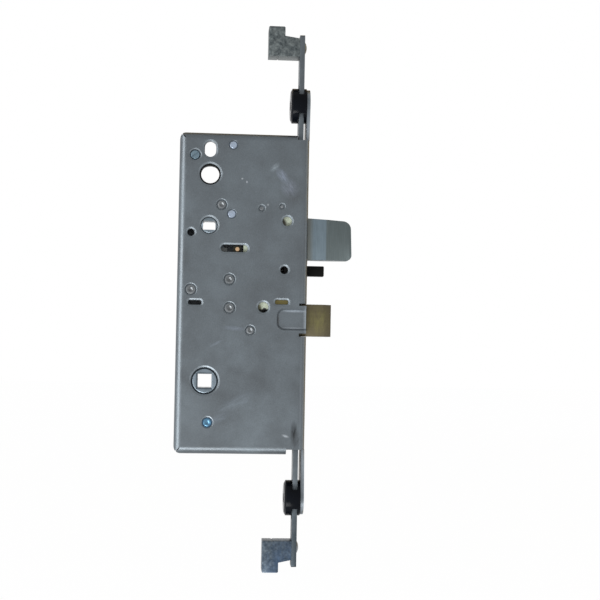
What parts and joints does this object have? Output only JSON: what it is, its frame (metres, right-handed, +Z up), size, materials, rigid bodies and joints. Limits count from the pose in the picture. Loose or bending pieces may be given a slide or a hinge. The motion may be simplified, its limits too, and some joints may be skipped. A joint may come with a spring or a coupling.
{
  "type": "concealed rod mortise lock",
  "caption": "Mortise lock case with a spring latch, deadbolt and trigger, whose lever follower also draws sliding rods at the top and bottom of a rounded forend.",
  "frame": {"origin": "outer face of the forend, midway between the two threaded fixing inserts", "axes": "+X out of the forend, the way the bolts throw; +Z up along the forend; +Y away from the pan side of the case, towards its cover"},
  "size_m": [0.1044, 0.0214, 0.3268],
  "materials": {
    "pan_steel": "galvanised sheet, lightly brushed",
    "cover_steel": "galvanised sheet",
    "rivet_steel": "zinc plated",
    "blue_rivet": "blue passivated zinc",
    "screw_steel": "zinc plated",
    "latch_zinc": "cast zinc, satin",
    "bolt_brass": "dull brass-toned plating",
    "nylon_black": "matte",
    "nylon_cream": "satin",
    "spring_steel": "drawn wire",
    "inner_steel": "stamped",
    "pin_brass": "turned",
    "hub_steel": "sintered steel, zinc plated",
    "strip_steel": "zinc plated",
    "block_zinc": "cast zinc, mottled",
    "disc_black": "satin",
    "insert_brass": "turned"
  },
  "bodies": {
    "case": {"case_pan": "pan_steel", "cover_plate": "cover_steel", "upper_pillars": "rivet_steel", "pivot_pillar": "rivet_steel", "guide_pillar": "rivet_steel", "lower_pillar": "blue_rivet", "trigger_guide_stud": "rivet_steel", "tail_rest_stud": "rivet_steel", "guide_rivets": "rivet_steel", "cover_screw": "screw_steel", "screw_post": "rivet_steel", "escutcheon_bush": "nylon_black", "latch_guide": "nylon_cream", "latch_spring": "spring_steel", "trigger_spring": "spring_steel", "drive_return_spring": "spring_steel", "deadbolt_guide": "nylon_cream", "deadbolt_brake_leaf": "pin_brass", "hub_detent_spring": "spring_steel", "upper_guide_disc": "disc_black", "lower_guide_disc": "disc_black", "upper_threaded_insert": "insert_brass", "lower_threaded_insert": "insert_brass"},
    "follower": {"lever_follower": "hub_steel", "follower_pin": "rivet_steel"},
    "bottom_rod": {"bottom_drive_slide": "inner_steel", "bottom_rod_strip": "strip_steel", "bottom_rod_block": "block_zinc", "bottom_block_rivet": "rivet_steel", "bottom_slide_rivets": "rivet_steel"},
    "top_rod": {"top_drive_slide": "inner_steel", "top_rod_strip": "strip_steel", "top_rod_block": "block_zinc", "top_block_rivet": "rivet_steel", "top_slide_rivets": "rivet_steel"},
    "reversing_arm": {"reversing_lever": "inner_steel", "reversing_lever_pins": "rivet_steel"},
    "latch_arm": {"latch_lever": "inner_steel", "latch_lever_pins": "rivet_steel"},
    "latch": {"latch_head": "latch_zinc"},
    "trigger": {"trigger_head": "nylon_black", "trigger_carrier": "inner_steel", "trigger_pin": "pin_brass"},
    "deadbolt": {"deadbolt_head": "bolt_brass", "deadbolt_tail": "inner_steel", "deadbolt_tail_rivets": "rivet_steel"},
    "thumbturn": {"thumbturn_hub": "hub_steel", "hub_pin": "rivet_steel"}
  },
  "joints": [
    {"name": "follower_turn", "type": "hinge", "parent": "case", "child": "follower", "pos_m": [-0.06, 0, -0.0489], "axis": [0, -1, 0], "range_deg": [0, 39.96], "stiffness_Nm_per_rad": 0.6, "springref_deg": -34.38, "deforming": ["drive_return_spring"]},
    {"name": "bottom_rod_slide", "type": "slide", "parent": "case", "child": "bottom_rod", "axis": [0, 0, 1], "range_m": [0, 0.0096]},
    {"name": "top_rod_slide", "type": "slide", "parent": "case", "child": "top_rod", "axis": [0, 0, -1], "range_m": [0, 0.0096]},
    {"name": "reversing_turn", "type": "hinge", "parent": "case", "child": "reversing_arm", "pos_m": [-0.0337, 0, -0.0186], "axis": [0, 1, 0], "range_deg": [0, 47]},
    {"name": "latch_lever_turn", "type": "hinge", "parent": "case", "child": "latch_arm", "pos_m": [-0.0337, 0, -0.0186], "axis": [0, -1, 0], "range_deg": [0, 28.1]},
    {"name": "latch_slide", "type": "slide", "parent": "case", "child": "latch", "axis": [-1, 0, 0], "range_m": [0, 0.0271], "deforming": ["latch_spring"]},
    {"name": "trigger_slide", "type": "slide", "parent": "case", "child": "trigger", "axis": [-1, 0, 0], "range_m": [0, 0.0083], "stiffness_N_per_m": 150, "springref_m": -0.012, "deforming": ["trigger_spring"]},
    {"name": "thumbturn_turn", "type": "hinge", "parent": "case", "child": "thumbturn", "pos_m": [-0.0591, 0, 0.0433], "axis": [0, 1, 0], "range_deg": [0, 47.46]},
    {"name": "deadbolt_slide", "type": "slide", "parent": "case", "child": "deadbolt", "axis": [-1, 0, 0], "range_m": [0, 0.0144]}
  ],
  "couplings": [
    {"joint": "bottom_rod_slide", "follows": "follower_turn", "m_per_rad": 0.01362},
    {"joint": "top_rod_slide", "follows": "follower_turn", "m_per_rad": 0.01362},
    {"joint": "reversing_turn", "follows": "follower_turn", "ratio": 1.1669},
    {"joint": "latch_lever_turn", "follows": "follower_turn", "ratio": 0.69684},
    {"joint": "latch_slide", "follows": "follower_turn", "m_per_rad": 0.038709},
    {"joint": "thumbturn_turn", "follows": "deadbolt_slide", "rad_per_m": 57.155}
  ]
}
